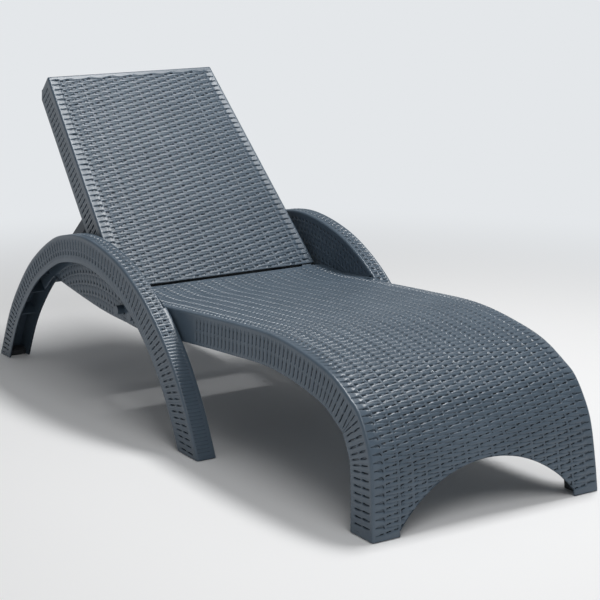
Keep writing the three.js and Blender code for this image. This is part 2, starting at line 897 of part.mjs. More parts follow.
function railScrew(place) {
  const head = seatEnd[0] + shellWall + 2 * clearance;
  const tip = seatEnd[0] - railScrewLength + clearance;
  return longBar(screwRadius, tip, head + screwHeadHeight, place).add(
    longBar(screwHeadRadius, head, head + screwHeadHeight, place),
  );
}

function rearBarBolt(side) {
  const from = side * (rearLegPlane + shellWall + clearance);
  const to = side * (rearLegPlane - railScrewLength);
  return headedPin(screwRadius, screwHeadRadius, screwHeadHeight, from, to, rearBoltPlace);
}

// A glide that fills a foot's hollow
function armGlide(side, atFront) {
  const inset = shellWall + clearance;
  const inner = (atFront ? frontLegPlane : rearLegPlane) + inset;
  const outer = outerPlane - inset;
  const [left, right] = side > 0 ? [inner, outer] : [-outer, -inner];
  const reach = 3 * glideHeight;
  const from = atFront ? 0 : armLine.getLength() - reach;
  const block = sweep(stationsOn(armLine, glideStations, from, from + reach), (station) =>
    blockSection(left, right, inset, bandDepthAt(station) * glideDepthShare),
  );
  return cutBy(solid(block), [below(0), above(glideHeight)]);
}

function frontGlide(side) {
  const inset = shellWall + clearance;
  const [inner, outer] = [halfSeat - inset - glideWidth, halfSeat - inset];
  const [left, right] = side > 0 ? [inner, outer] : [-outer, -inner];
  const stations = stationsOn(deckLine, glideStations, 0, 3 * glideHeight);
  const block = sweep(stations, () => blockSection(left, right, inset, frontLegDepth * glideDepthShare));
  return cutBy(solid(leaned(block)), [below(0), above(glideHeight)]);
}

// Assembly
const lounger = new THREE.Group();
const barHalf = propLegOuter - clearance;
lounger.add(piece("seat_shell", seatShell(), slateResin));
lounger.add(piece("rack_frame", rackFrame(), slateResin));
lounger.add(piece("backrest_shell", backrestShell(), slateResin));
lounger.add(piece("prop_frame", propFrame(), propResin));
lounger.add(piece("prop_foot_bar", crossBar(footBarRadius, -barHalf, barHalf, footBarPlace(0)), zincSteel));
railScrewPlaces.forEach((place, i) => {
  lounger.add(piece("rack_frame_screw_" + (i + 1), railScrew(place), zincSteel));
});
for (const side of sides) {
  const name = side > 0 ? "left_" : "right_";
  lounger.add(piece(name + "arm", arm(side), slateResin));
  armScrewPlaces.forEach((place, i) => {
    lounger.add(piece(name + "arm_screw_" + (i + 1), armScrew(side, place), zincSteel));
  });
  lounger.add(piece(name + "rear_bar_bolt", rearBarBolt(side), zincSteel));
  lounger.add(piece(name + "hinge_pin", hingePin(side), zincSteel));
  lounger.add(piece(name + "prop_pin", propPin(side), zincSteel));
  lounger.add(piece(name + "arm_front_glide", armGlide(side, true), glideRubber));
  lounger.add(piece(name + "arm_rear_glide", armGlide(side, false), glideRubber));
  lounger.add(piece(name + "front_leg_glide", frontGlide(side), glideRubber));
}
const bounds = new THREE.Box3().setFromObject(lounger);
lounger.position.x = -(bounds.min.x + bounds.max.x) / 2;

export default lounger;
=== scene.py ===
import math

import bpy
import numpy as np
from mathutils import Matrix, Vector


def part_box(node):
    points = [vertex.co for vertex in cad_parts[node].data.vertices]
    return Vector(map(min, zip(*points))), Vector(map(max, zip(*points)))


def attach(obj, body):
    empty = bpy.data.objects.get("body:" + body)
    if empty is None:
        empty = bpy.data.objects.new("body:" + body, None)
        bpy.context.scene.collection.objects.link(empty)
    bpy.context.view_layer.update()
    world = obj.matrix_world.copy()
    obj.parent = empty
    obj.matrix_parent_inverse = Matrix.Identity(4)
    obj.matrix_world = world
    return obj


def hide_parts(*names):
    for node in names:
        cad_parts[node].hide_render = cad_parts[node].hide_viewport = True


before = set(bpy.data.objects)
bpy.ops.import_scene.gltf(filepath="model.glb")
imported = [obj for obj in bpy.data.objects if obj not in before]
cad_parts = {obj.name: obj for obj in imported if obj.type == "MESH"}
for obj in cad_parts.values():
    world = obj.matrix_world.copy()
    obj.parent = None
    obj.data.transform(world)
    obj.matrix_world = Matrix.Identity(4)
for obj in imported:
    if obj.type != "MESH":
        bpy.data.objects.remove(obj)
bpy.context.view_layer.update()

# The lounger's sizes in millimetres, drawn with x = 0 at the front leg's face on the ground
OVERALL_LENGTH = 1880
OUTER_PLANE = 365
SEAT_LENGTH = 1176
SEAT_CREST = 362
HALF_SEAT = 317.5
SIDE_LEAN = math.tan(math.radians(3.3))
SIDE_SPREAD = math.tan(math.radians(0.37))
SKIRT_DEPTH = 77
FRONT_LEG_DEPTH = 84
FRONT_CUT_HALF = 245
FRONT_CUT_HEIGHT = 133
FRONT_CUT_MIDDLE = 60
FRONT_FOOT_LAND = 14
SOLE = 2
EDGE_RADIUS = 6
CAD_EDGE_RADIUS = 9
SHELL_WALL = 4.5
PAST_ENDS = 20
LINE_SAMPLES = 500
TURNED_EDGE = -4
DECK_OUTLINE = [
    (0, 0), (0.006, 0.202), (0.02, 0.472), (0.038, 0.602), (0.068, 0.738), (0.1, 0.804), (0.159, 0.898),
    (0.259, 0.967), (0.374, 1), (0.544, 0.97), (0.789, 0.906), (0.878, 0.879), (0.93, 0.876), (1, 0.888),
]
ARM_REACH = 677
ARM_SPAN = OVERALL_LENGTH - ARM_REACH
ARM_CREST = 452
ARM_OUTLINE = [
    (0, 0), (0.044, 0.241), (0.106, 0.487), (0.179, 0.681), (0.256, 0.823), (0.357, 0.938), (0.505, 1),
    (0.625, 0.958), (0.687, 0.898), (0.796, 0.721), (0.875, 0.52), (0.933, 0.325), (1, 0),
]
PANEL_EDGE = [(0.19, 0.575), (0.315, 0.551), (0.399, 0.551), (0.497, 0.562), (0.722, 0.631), (0.775, 0.655)]
STRIP_PLANE = 318.5
FRONT_LEG_PLANE = 310.5
REAR_LEG_PLANE = 300.5
REAR_LEG_TOP = 285
LOWEST_RIM = 200
PANEL_RIM_X = (-1860, -720)
PANEL_EDGE_X = (-1680, -860)
PANEL_WEAVE_X = (-1700, -760)
SKIRT_WEAVE_END = (796, 802)
STRIP_WEAVE_RISE = (270, 278)
FRONT_TO_REAR_SLOTS = (820, 980)
FRONT_BAND = 90
CREST_BAND = 76
REAR_BAND = 61
BACKREST_LENGTH = 721
BACKREST_TAPER = 43.7
BACKREST_DEPTH = 78
BACKREST_TOP_DEPTH = 58
BACKREST_LIP = 20
BACKREST_START = 3
BACKREST_RADIUS = 4
CAD_BACKREST_RADIUS = 6
HINGE_GAP = 17
HINGE_AHEAD = 14
HINGE_BELOW = 12

# The woven look, measured on the photograph: rows, stakes, slots and how deep they lie, in millimetres.
# A strand's tip and half width are shares of its row; a hole's and a leaf's reach are shares of a float.
DECK_ROW = 8.8
ARM_ROW = 9.2
BACKREST_ROW = 8.7
DECK_FLOAT = 75.2
BACKREST_FLOAT = 77.4
STRIP_FLOAT = 58
PANEL_FLOAT = 56
PANEL_STRAND = 9.2
SLOT_HALF = 0.3
SLOT_SLANT = 0.006
HOLE_DEPTH = 5
GROOVE_DEPTH = 2
BORDER_FALL = 1.3
FLOAT_DIVE = 2.8
FLOAT_BODY = 2.4
HOLE_REACH = (0.12, 0.22)
STAKE_FALL = 1.6
STAKE_SQUARENESS = 4
LEAF_GROWN = 0.42
LEAF_THINS = 0.58
LEAF_SLOPE = 0.06
LEAF_SWEEP = 0.52
DECK_TIP = 0.35
BACKREST_TIP = 0.22
THICK_HALF = 0.5
STAKE_HALF = 3
STAKE_DROP = 0.3
# How far below the mean of the places round it a place lies when its painted shade is full
DARK_DEPTH = 2
STRIP_REED_DEPTH = 1.5
ARM_REED_DEPTH = 0.9
SIDE_REED_DEPTH = 0.7
RIB_FLATNESS = 0.6
WEDGE_POINT = 0.05
WEDGE_MOUTH = 0.25
WEDGE_LIP = 0.6
WEDGE_OPENS = (7, 10)
WEDGE_WIDENS = (8, 30)
BORDER_FALLS = (5, 25)
BORDER_ENDS = (24, 33)
PANEL_RELIEF_SHARE = 0.8
# The painted shade on the backrest's lower end, which stands in the dark gap at the hinge
HINGE_SHADE = 0.9
BORDER_WIDTH = (29, 33)
SKIRT_SLOTS = [(12, 39), (42, 70)]
FLANK_SLOTS = [(22, 42), (45, 66)]
NEAR_SKIN = 2
OVER_WALL = 0.4
CUT_STEP = 1e-6

# How finely the skins are sampled
SAMPLES_A_ROW = 6
SKIRT_SAMPLES = 34
DECK_SAMPLES = 281
ARM_SIDE_SAMPLES = 36
STRIP_SAMPLES = 25
FLANK_SAMPLES = 32
BACKREST_SAMPLES = 261
BACKREST_END_SAMPLES = 24
PANEL_SAMPLES = 90
PANEL_SAMPLES_A_STRAND = 6
RIM_SAMPLES = 4000

# How far along a skin its slanting ends are evened out, from the first and from the last row
DECK_FADES = (260, 120)
ARM_FADES = (480, 300)

# The rows over which the weave rises from a skin's plain ends, counted from its first and from its last row
DECK_PLAIN_ROWS = ((1.2, 2), (0.8, 1.6))
ARM_PLAIN_ROWS = ((0.6, 1.4), (0.6, 1.4))
BACKREST_PLAIN_ROWS = ((0.3, 0.8), (1.2, 1.9))

# Where the arm's outer slots end, start again and end again, over its rear and its front leg, in shares of
# its band
ARM_SLOT_START = 0.18
ARM_SLOT_ENDS = [(0.53, 0.46), (0.57, 0.51), (0.74, 0.8)]

# How near a CAD place counts as on the new skin, at a wall's inner face and at its lower edge
WALL_SLACK = 0.5
EDGE_SLACK = 1.5

MILLIMETRE = 0.001

# The share of a step at 45 degrees, the backrest's angle, that goes along x and along z
QUARTER = math.sqrt(0.5)


class Line:
    """A smooth line in the side view, sampled closely. Its way is the distance along it, and a place's depth
    is how far it lies below the line."""

    def __init__(self, places, past=PAST_ENDS, samples=LINE_SAMPLES):
        points = [np.array(place, float) for place in places]
        if past:
            ends = [(points[0], points[1]), (points[-1], points[-2])]
            first, last = [end + (end - near) * past / np.linalg.norm(end - near) for end, near in ends]
            points = [first, *points, last]
        points = [2 * points[0] - points[1], *points, 2 * points[-1] - points[-2]]
        share = np.linspace(0, 1, samples, endpoint=False)[:, None]
        runs = []
        for a, b, c, d in zip(points, points[1:], points[2:], points[3:]):
            ab, bc, cd = [np.linalg.norm(q - p) ** 0.5 for p, q in ((a, b), (b, c), (c, d))]
            leave = ((b - a) / ab - (c - a) / (ab + bc) + (c - b) / bc) * bc
            reach = ((c - b) / bc - (d - b) / (bc + cd) + (d - c) / cd) * bc
            runs.append(
                b + leave * share + (3 * (c - b) - 2 * leave - reach) * share**2
                + (2 * (b - c) + leave + reach) * share**3
            )
        at = np.concatenate([*runs, points[-2][None]])
        self.x, self.z = at[:, 0], at[:, 1]
        self.way = np.concatenate([[0], np.cumsum(np.hypot(np.diff(self.x), np.diff(self.z)))])
        along_x, along_z = np.gradient(self.x, self.way), np.gradient(self.z, self.way)
        size = np.hypot(along_x, along_z)
        self.nx, self.nz = along_z / size, -along_x / size

    def at(self, way):
        return [np.interp(way, self.way, values) for values in (self.x, self.z, self.nx, self.nz)]

    def place(self, way, depth):
        x, z, nx, nz = self.at(way)
        return x - nx * depth, z - nz * depth

    def way_at_height(self, depth, height, rear=False):
        """The way at which the line at a depth first, or last, stands at a height."""
        over = self.z - self.nz * depth >= height
        i = len(over) - np.argmax(over[::-1]) if rear else np.argmax(over)
        return self.way[min(max(i, 1), len(over) - 1)]

    def way_at_x(self, depth, x):
        return self.way[np.argmax(self.x - self.nx * depth <= x)]

    def measure(self, x, z):
        """The way and depth of places near the line."""
        way, depth = np.zeros(len(x)), np.zeros(len(x))
        for i, (px, pz) in enumerate(zip(x, z)):
            j = np.argmin((self.x - px) ** 2 + (self.z - pz) ** 2)
            way[i] = self.way[j]
            depth[i] = (self.x[j] - px) * self.nx[j] + (self.z[j] - pz) * self.nz[j]
        return way, depth


def on_arm(places):
    """Places given as shares of the arm's span and crest, in drawn millimetres."""
    return [(-ARM_REACH - along * ARM_SPAN, up * ARM_CREST) for along, up in places]


deck_line = Line([(-along * SEAT_LENGTH, up * SEAT_CREST) for along, up in DECK_OUTLINE])
arm_line = Line(on_arm(ARM_OUTLINE))
panel_line = Line(on_arm(PANEL_EDGE), past=0)
arch_middle = -ARM_REACH - ARM_SPAN / 2
seat_end = (-SEAT_LENGTH, DECK_OUTLINE[-1][1] * SEAT_CREST)
backrest_foot = (seat_end[0] - HINGE_GAP, seat_end[1])
hinge_x = backrest_foot[0] + (HINGE_AHEAD - HINGE_BELOW) * QUARTER
pin_low, pin_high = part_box("left_hinge_pin")
shift = (pin_low.x + pin_high.x) / 2 - hinge_x * MILLIMETRE


def seat_half(x, z):
    """Half the seat's width, which grows downwards and towards the back."""
    return HALF_SEAT - z * SIDE_LEAN - x * SIDE_SPREAD


backrest_bottom_half = seat_half(*backrest_foot)


def backrest_half(up):
    """Half the backrest's width, which narrows upwards."""
    return backrest_bottom_half - BACKREST_TAPER * up / BACKREST_LENGTH


def on_backrest(up, depth):
    """The x and z of a place on the backrest, from its way up the face and its depth below it."""
    return backrest_foot[0] - (up + depth) * QUARTER, backrest_foot[1] + (up - depth) * QUARTER


def ease(value, low, high):
    """0 below the low value and 1 above the high one, with a smooth rise between them."""
    share = np.clip((value - low) / (high - low), 0, 1)
    return share * share * (3 - 2 * share)


def deck_height(x):
    return np.interp(x, deck_line.x[::-1], deck_line.z[::-1])


def skirt_depth(way):
    """The depth of the seat's side, a little more in the front leg than under the deck."""
    height_share = np.clip(deck_line.at(way)[1] / SEAT_CREST, 0, 1)
    return FRONT_LEG_DEPTH + (SKIRT_DEPTH - FRONT_LEG_DEPTH) * height_share


def band_depth(way):
    """The depth of the arm's outer band, from the crest to either foot."""
    x = arm_line.at(way)[0]
    from_crest = np.abs(2 * np.clip((-ARM_REACH - x) / ARM_SPAN, 0, 1) - 1)
    leg = np.where(x > arch_middle, FRONT_BAND, REAR_BAND)
    return CREST_BAND + (leg - CREST_BAND) * ease(from_crest, 0, 1)


# Reliefs: how far a moulded face lies below its plain level, zero or less


def woven(row, column, float_length, tip=DECK_TIP):
    """Strands over one stake and under the next: each float rises as a leaf from a thin left tip, crosses
    its stake and sinks to a thin right end a little higher up, with a hole on both sides of the stake that
    it dives under."""
    from_stake = np.abs(2 * column - np.round(2 * column)) / 2 * float_length
    near_stake = 1 - ease(from_stake / float_length, *HOLE_REACH)
    height = -GROOVE_DEPTH - (HOLE_DEPTH - GROOVE_DEPTH) * near_stake
    stake = -STAKE_DROP - STAKE_FALL * (from_stake / STAKE_HALF) ** STAKE_SQUARENESS
    height = np.where(from_stake < STAKE_HALF, np.maximum(height, stake), height)
    for step in (-1, 0, 1):
        number = np.floor(row) + step
        along = (column + 0.5 * (number % 2)) % 1
        turn = 2 * along - 1
        half = tip + (THICK_HALF - tip) * ease(along, 0, LEAF_GROWN) * (1 - ease(along, LEAF_THINS, 1))
        rise = LEAF_SLOPE * turn + (LEAF_SWEEP - tip) * turn**3
        off = (row - number - 0.5 - rise) / half
        flat_top = np.sqrt(np.clip(1 - np.abs(off) ** 3, 0, 1))
        top = -FLOAT_DIVE * turn**2 - FLOAT_BODY * (1 - flat_top)
        height = np.where(np.abs(off) < 1, np.maximum(height, top), height)
    return height


def reeded(row, depth):
    """Rows as flat ribs with a narrow groove between them."""
    return -depth * (1 - np.abs(np.sin(np.pi * row)) ** RIB_FLATNESS)


def slotted(row, down, bands, ribs=SIDE_REED_DEPTH):
    """Ribs with a narrow slot in every second groove, cut into bands by a strand that crosses them. A slot
    grows narrow and shallow towards both its ends."""
    height = reeded(row, ribs)
    for low, high in bands:
        middle, reach = (low + high) / 2, (high - low) / 2
        length = np.sqrt(np.clip(1 - ((down - middle) / reach) ** 2, 0, 1))
        off = np.abs((row - SLOT_SLANT * down) % 2 - 1) / SLOT_HALF
        slot = (1 - ease(off, 0.5 * length, 0.2 + length)) * ease(length, 0, 0.6)
        height = np.minimum(height, -HOLE_DEPTH * slot)
    return height


def edge_wedges(row, inset, parity, rise):
    """Dark wedges between the plain border and the first stake, in the rows that dive under it. They widen
    inwards, and the face beside them falls a little."""
    number = np.floor(row)
    half = WEDGE_POINT + (WEDGE_MOUTH - WEDGE_POINT) * ease(inset, *WEDGE_WIDENS)
    off = np.abs(row - number - 0.5 - rise) / half
    open_row = (number % 2 == parity) * ease(inset, *WEDGE_OPENS)
    fall = -BORDER_FALL * np.interp(inset, BORDER_FALLS, (0, 1)) * (1 - ease(inset, *BORDER_ENDS))
    wedge = HOLE_DEPTH * (1 - ease(off, 0.6, 1.3)) + WEDGE_LIP * (1 - ease(off, 1, 3))
    return fall - wedge * open_row


def mean_around(values, rows=SAMPLES_A_ROW // 2, columns=4):
    """The mean of the places round each place of a grid."""
    for axis, reach in ((0, rows), (1, columns)):
        width = [(reach, reach) if axis == i else (0, 0) for i in (0, 1)]
        padded = np.pad(values, width, mode="edge")
        count = values.shape[axis]
        values = sum(padded.take(range(i, i + count), axis) for i in range(2 * reach + 1)) / (2 * reach + 1)
    return values


def skin(places, relief, flip=False, shade=0):
    """A grid of places as vertices, faces and each vertex's painted shade: the further it lies below the
    places round it, the darker, and at least the given shade.
    """
    points = np.stack(np.broadcast_arrays(*places), -1)
    rows, columns = points.shape[:2]
    index = np.arange(rows * columns).reshape(rows, columns)
    quads = np.stack([index[:-1, :-1], index[:-1, 1:], index[1:, 1:], index[1:, :-1]], -1).reshape(-1, 4)
    relief = np.broadcast_to(relief, points.shape[:2])
    # Painted shade: the further a place lies below the places round it, the darker its colour is drawn
    painted_shade = np.clip(shade + (mean_around(relief) - relief) / DARK_DEPTH, 0, 1)
    return points.reshape(-1, 3), quads[:, ::-1] if flip else quads, painted_shade.reshape(-1)


def turned_in(values, step=None):
    """A grid with its first and last row and column doubled. Given a step, the doubled ones take it, so that
    the edge turns in."""
    grown = np.pad(values, 1, mode="edge")
    if step is not None:
        grown[0], grown[-1], grown[:, 0], grown[:, -1] = (step,) * 4
    return grown


def hood(line, way, across, depth, low, high, radius, relief):
    """Places on a rounded box section that follows a line, moved out or in by the relief."""
    core_across = np.clip(across, low + radius, high - radius)
    core_depth = np.maximum(depth, radius)
    side, up = across - core_across, core_depth - depth
    size = np.hypot(side, up)
    side, up = side / size, up / size
    reach = radius + relief
    x, z = line.place(way, core_depth - up * reach)
    return x, core_across + side * reach, z


def spread_ways(nominal, starts, ends, first_fade, last_fade):
    """Each column's own ways, from its start to its end."""
    into = np.clip(1 - (nominal - nominal[0]) / first_fade, 0, 1)[:, None]
    out = np.clip(1 - (nominal[-1] - nominal) / last_fade, 0, 1)[:, None]
    return nominal[:, None] + (starts - nominal[0]) * into + (ends - nominal[-1]) * out


def row_ways(start, end, pitch):
    """Ways that sample a whole, even number of rows, and the row number at each."""
    rows = 2 * round((end - start) / pitch / 2)
    number = np.arange(rows * SAMPLES_A_ROW + 1) / SAMPLES_A_ROW
    return start + number * (end - start) / rows, number


def plain_ends(row, rows, first, last):
    """0 on the plain rows at both ends of a skin, and 1 on the woven rows between them."""
    return ease(row, *first) * ease(rows - row, *last)


# Seat


def seat_skin():
    """The seat's face, both its sides and its rounded edges, over the front leg's cut."""
    skirt = np.linspace(1, 0, SKIRT_SAMPLES)
    inner = np.linspace(-1, 1, DECK_SAMPLES)[1:-1]
    cut_share = FRONT_CUT_HALF / (HALF_SEAT - FRONT_FOOT_LAND * SIDE_LEAN)
    cut_sides = [side * cut_share + step for side in (-1, 1) for step in (-CUT_STEP, CUT_STEP)]
    inner = np.sort(np.concatenate([inner, cut_sides]))
    across = np.concatenate([-np.ones(len(skirt)), inner, np.ones(len(skirt))]) * HALF_SEAT
    down = np.concatenate([skirt, np.zeros(len(inner)), skirt[::-1]])
    rise = FRONT_CUT_HEIGHT - FRONT_FOOT_LAND
    arch_radius = (FRONT_CUT_HALF**2 + rise**2) / (2 * rise)
    narrow = across * (HALF_SEAT - FRONT_CUT_MIDDLE * SIDE_LEAN) / HALF_SEAT
    arch = FRONT_CUT_HEIGHT - arch_radius + np.sqrt(np.clip(arch_radius**2 - narrow**2, 0, None))
    under_arch = (down == 0) & (np.abs(across) < cut_share * HALF_SEAT)
    floor = np.where(under_arch, np.maximum(arch, FRONT_FOOT_LAND), SOLE)
    starts = np.array([deck_line.way_at_height(d * FRONT_LEG_DEPTH, h) for d, h in zip(down, floor)])
    ends = np.array([deck_line.way_at_x(d * SKIRT_DEPTH, seat_end[0]) for d in down])
    first, last = deck_line.way_at_height(0, SOLE), deck_line.way_at_x(0, seat_end[0])
    nominal, number = row_ways(first, last, DECK_ROW)
    way = spread_ways(nominal, starts, ends, *DECK_FADES)
    row = (way - nominal[0]) * number[-1] / (nominal[-1] - nominal[0])
    depth = skirt_depth(way) * down
    inset = HALF_SEAT - np.abs(across)
    weave = woven(row, across / DECK_FLOAT + 0.25, DECK_FLOAT)
    border = np.where(across > 0, edge_wedges(row, inset, 0, 0.2), edge_wedges(row, inset, 1, 0))
    face = border + (weave - border) * ease(inset, *BORDER_WIDTH)
    x = deck_line.at(way)[0]
    side = slotted(row, depth, SKIRT_SLOTS) * ease(depth, 7, 11) * (1 - ease(-x, *SKIRT_WEAVE_END))
    relief = np.where(down > 0, side, face) * plain_ends(row, number[-1], *DECK_PLAIN_ROWS)
    way, depth, relief = turned_in(way), turned_in(depth), turned_in(relief, TURNED_EDGE)
    across = np.pad(across, 1, mode="edge")[None, :]
    x, y, z = hood(deck_line, way, across, depth, -HALF_SEAT, HALF_SEAT, EDGE_RADIUS, relief)
    y = y * seat_half(x, z) / HALF_SEAT
    return skin((x, y, z), relief)


# Arms


def leg_plane(x, z):
    """The plane of the arm's inner side at a place: further in at the legs than over the deck."""
    front = (x > arch_middle) & (z < deck_height(x))
    rear = (x <= arch_middle) & (z < REAR_LEG_TOP)
    return np.where(front, FRONT_LEG_PLANE, np.where(rear, REAR_LEG_PLANE, STRIP_PLANE))


def panel_relief(x, z, rim):
    """Upright woven strands, whose stakes follow the rim."""
    below = rim - z
    weave = woven(x / PANEL_STRAND, below / PANEL_FLOAT, PANEL_FLOAT)
    return weave * PANEL_RELIEF_SHARE * ease(below, 14, 22)


over_panel = (arm_line.x > PANEL_RIM_X[0]) & (arm_line.x < PANEL_RIM_X[1])
rim_x, rim_top = arm_line.x[over_panel], arm_line.z[over_panel]


def rim_height(x):
    return np.interp(x, rim_x[::-1], rim_top[::-1])


def arm_skins(side):
    """An arch of U section: slots outside, weave over its crest and the woven panel on its inner side."""
    outer = np.linspace(1, 0, ARM_SIDE_SAMPLES)
    strip = np.linspace(1, 0, STRIP_SAMPLES)[1:-1]
    inner = np.linspace(0, 1, ARM_SIDE_SAMPLES)
    down = np.concatenate([outer, np.zeros(len(strip)), inner])
    over = np.concatenate([np.ones(len(outer)), strip, np.zeros(len(inner))])
    front = np.array([arm_line.way_at_height(d * FRONT_BAND, SOLE) for d in down])
    rear = np.array([arm_line.way_at_height(d * REAR_BAND, SOLE, rear=True) for d in down])
    first, last = arm_line.way_at_height(0, SOLE), arm_line.way_at_height(0, SOLE, rear=True)
    nominal, number = row_ways(first, last, ARM_ROW)
    way = spread_ways(nominal, front, rear, *ARM_FADES)
    row = number[:, None]
    band = band_depth(way)
    depth = band * down
    x, z = arm_line.place(way, depth)
    plane = leg_plane(x, z)
    across = plane + (OUTER_PLANE - plane) * over
    is_outer, is_inner = (over == 1) & (down > 0), (over == 0) & (down > 0)
    share = depth / band
    front_part = 1 - ease(-x, *FRONT_TO_REAR_SLOTS)
    ends = [(rear_end + (front_end - rear_end) * front_part) * band for rear_end, front_end in ARM_SLOT_ENDS]
    slots = [(ARM_SLOT_START * band, ends[0]), (ends[1], ends[2])]
    outside = slotted(row, depth, slots, ARM_REED_DEPTH)
    outside = outside * ease(share, 0.1, 0.16) * (1 - ease(share, 0.84, 0.9))
    inside = np.where(z > deck_height(x) + 2, panel_relief(x, z, rim_height(x)) * ease(depth, 10, 14), 0)
    inside = inside * ((x > PANEL_WEAVE_X[0]) & (x < PANEL_WEAVE_X[1]))
    from_middle = across - (OUTER_PLANE + STRIP_PLANE) / 2
    weave = woven(row, -from_middle / STRIP_FLOAT, STRIP_FLOAT) * (1 - ease(np.abs(from_middle), 14, 19))
    reeding = reeded(row, STRIP_REED_DEPTH) * (1 - ease(np.abs(from_middle), 17, 20))
    over_top = reeding + (weave - reeding) * ease(z, *STRIP_WEAVE_RISE)
    relief = np.where(is_outer, outside, np.where(is_inner, inside, over_top))
    relief = relief * plain_ends(row, number[-1], *ARM_PLAIN_ROWS)
    grids = [turned_in(values) for values in (way, across, depth, plane)]
    relief = turned_in(relief, TURNED_EDGE)
    x, y, z = hood(arm_line, *grids, OUTER_PLANE, EDGE_RADIUS, relief)
    return [
        skin((x, y * side, z), relief, side > 0),
        panel_skin(side, STRIP_PLANE, -1, False),
        panel_skin(side, STRIP_PLANE + SHELL_WALL, 1, True),
    ]


def panel_skin(side, plane, facing, outside):
    """One face of the panel that closes the arch on its inner side. The outer face goes on into the arch's
    hollow, where it stands a little proud of the arch's own wall."""
    x = np.arange(panel_line.x[-1], panel_line.x[0], PANEL_STRAND / PANEL_SAMPLES_A_STRAND)
    low = np.interp(x, panel_line.x[::-1], panel_line.z[::-1])
    ways = np.linspace(0, arm_line.way[-1], RIM_SAMPLES)
    under_x, under_z = arm_line.place(ways, band_depth(ways) - 0.5)
    keep = (under_z > LOWEST_RIM) & (under_x > PANEL_EDGE_X[0]) & (under_x < PANEL_EDGE_X[1])
    order = np.argsort(under_x[keep])
    edge = np.interp(x, under_x[keep][order], under_z[keep][order])
    top = rim_height(x) - 2 * SHELL_WALL if outside else edge
    high = np.maximum(top, low + 0.01)
    share = np.linspace(0, 1, PANEL_SAMPLES)[:, None]
    z = high + (low - high) * share
    spread_x = np.broadcast_to(x, z.shape)
    relief = panel_relief(spread_x, z, rim_height(spread_x)) * ease(z - low, 4, 8)
    if outside:
        below_band = ease(edge - z, 3, 7)
        relief = relief * PANEL_RELIEF_SHARE * below_band + OVER_WALL * (1 - below_band)
    relief = turned_in(relief, TURNED_EDGE)
    spread_x, z = turned_in(spread_x), turned_in(z)
    y = side * (plane + facing * relief)
    return skin((spread_x, y, z), relief, flip=(side * facing) > 0)


# Backrest


def backrest_skins():
    """The backrest's face and sides as one skin, and its lower and upper ends."""
    nominal, number = row_ways(BACKREST_START, BACKREST_LENGTH, BACKREST_ROW)
    side = np.linspace(1, 0, FLANK_SAMPLES)
    inner = np.linspace(-1, 1, BACKREST_SAMPLES)[1:-1]
    over = np.concatenate([-np.ones(len(side)), inner, np.ones(len(side))])
    down = np.concatenate([side, np.zeros(len(inner)), side[::-1]])
    up = nominal[:, None] * np.ones(len(over))
    row = number[:, None]
    half = backrest_half(up)
    across = over * half
    chamfer = BACKREST_DEPTH - BACKREST_TOP_DEPTH
    full = BACKREST_TOP_DEPTH + np.clip(BACKREST_LENGTH - up, 0, chamfer)
    depth = full * down
    inset = half - np.abs(across)
    weave = woven(row, over * backrest_bottom_half / BACKREST_FLOAT, BACKREST_FLOAT, BACKREST_TIP)
    border = np.where(over > 0, edge_wedges(row, inset, 1, 0.2), edge_wedges(row, inset, 0, 0))
    face = border + (weave - border) * ease(inset, *BORDER_WIDTH)
    flank = slotted(row, depth, FLANK_SLOTS) * ease(depth, 12, 18) * ease(full - depth, 8, 12)
    relief = np.where(down > 0, flank, face) * plain_ends(row, number[-1], *BACKREST_PLAIN_ROWS)
    made = [box_skin(turned_in(up), turned_in(across), turned_in(depth), turned_in(relief))]
    # The lower end, in the gap at the hinge, is painted in shade; the upper end is not
    for end, deep, shade in (
        (BACKREST_START, BACKREST_LIP, HINGE_SHADE),
        (BACKREST_LENGTH, BACKREST_TOP_DEPTH, 0),
    ):
        over = np.linspace(-1, 1, BACKREST_SAMPLES)[None, :]
        depth = np.linspace(0, deep, BACKREST_END_SAMPLES)[:, None] * np.ones_like(over)
        up = np.full(depth.shape, float(end))
        across = over * backrest_half(up)
        made.append(box_skin(up, across, depth, np.zeros(depth.shape), end == BACKREST_START, shade))
    return made


def box_skin(up, across, depth, relief, flip=False, shade=0):
    """Faces of the backrest's box with all the edges round its face rounded."""
    radius = BACKREST_RADIUS
    half = backrest_half(up)
    core_up = np.clip(up, BACKREST_START + radius, BACKREST_LENGTH - radius)
    core_across = np.clip(across, radius - half, half - radius)
    core_depth = np.maximum(depth, radius)
    rise, side, out = up - core_up, across - core_across, core_depth - depth
    size = np.maximum(np.sqrt(rise**2 + side**2 + out**2), 1e-9)
    reach = (radius + relief) / size
    x, z = on_backrest(core_up + rise * reach, core_depth - out * reach)
    return skin((x, core_across + side * reach, z), relief, flip, shade)


# Meshes


def cad_faces(node, is_skin):
    """The points and faces of a CAD node in drawn millimetres, without those that lie on the new skin."""
    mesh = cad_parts[node].data
    points = np.zeros(len(mesh.vertices) * 3)
    mesh.vertices.foreach_get("co", points)
    points = points.reshape(-1, 3)
    points[:, 0] -= shift
    points /= MILLIMETRE
    mesh.calc_loop_triangles()
    faces = np.zeros(len(mesh.loop_triangles) * 3, int)
    mesh.loop_triangles.foreach_get("vertices", faces)
    faces = faces.reshape(-1, 3)
    near = is_skin(points)
    middle = is_skin(points[faces].mean(1))
    return points, faces[~(near[faces].all(1) & middle)]


def skin_depth(inset, depth, radius):
    """How far a place lies inside a rounded box section."""
    corner = radius - np.hypot(radius - inset, radius - depth)
    return np.where((inset < radius) & (depth < radius), corner, np.minimum(inset, depth))


def on_seat_skin(points):
    """Which places of the seat's solid lie where the new skin is."""
    x, y, z = points.T
    way, depth = deck_line.measure(x, z)
    inset = HALF_SEAT - np.abs(y) * HALF_SEAT / seat_half(x, z)
    near = skin_depth(inset, depth, CAD_EDGE_RADIUS) < NEAR_SKIN
    lower = (inset < SHELL_WALL + WALL_SLACK) & (depth > skirt_depth(way) - EDGE_SLACK)
    return (near | lower) & (depth > -2)


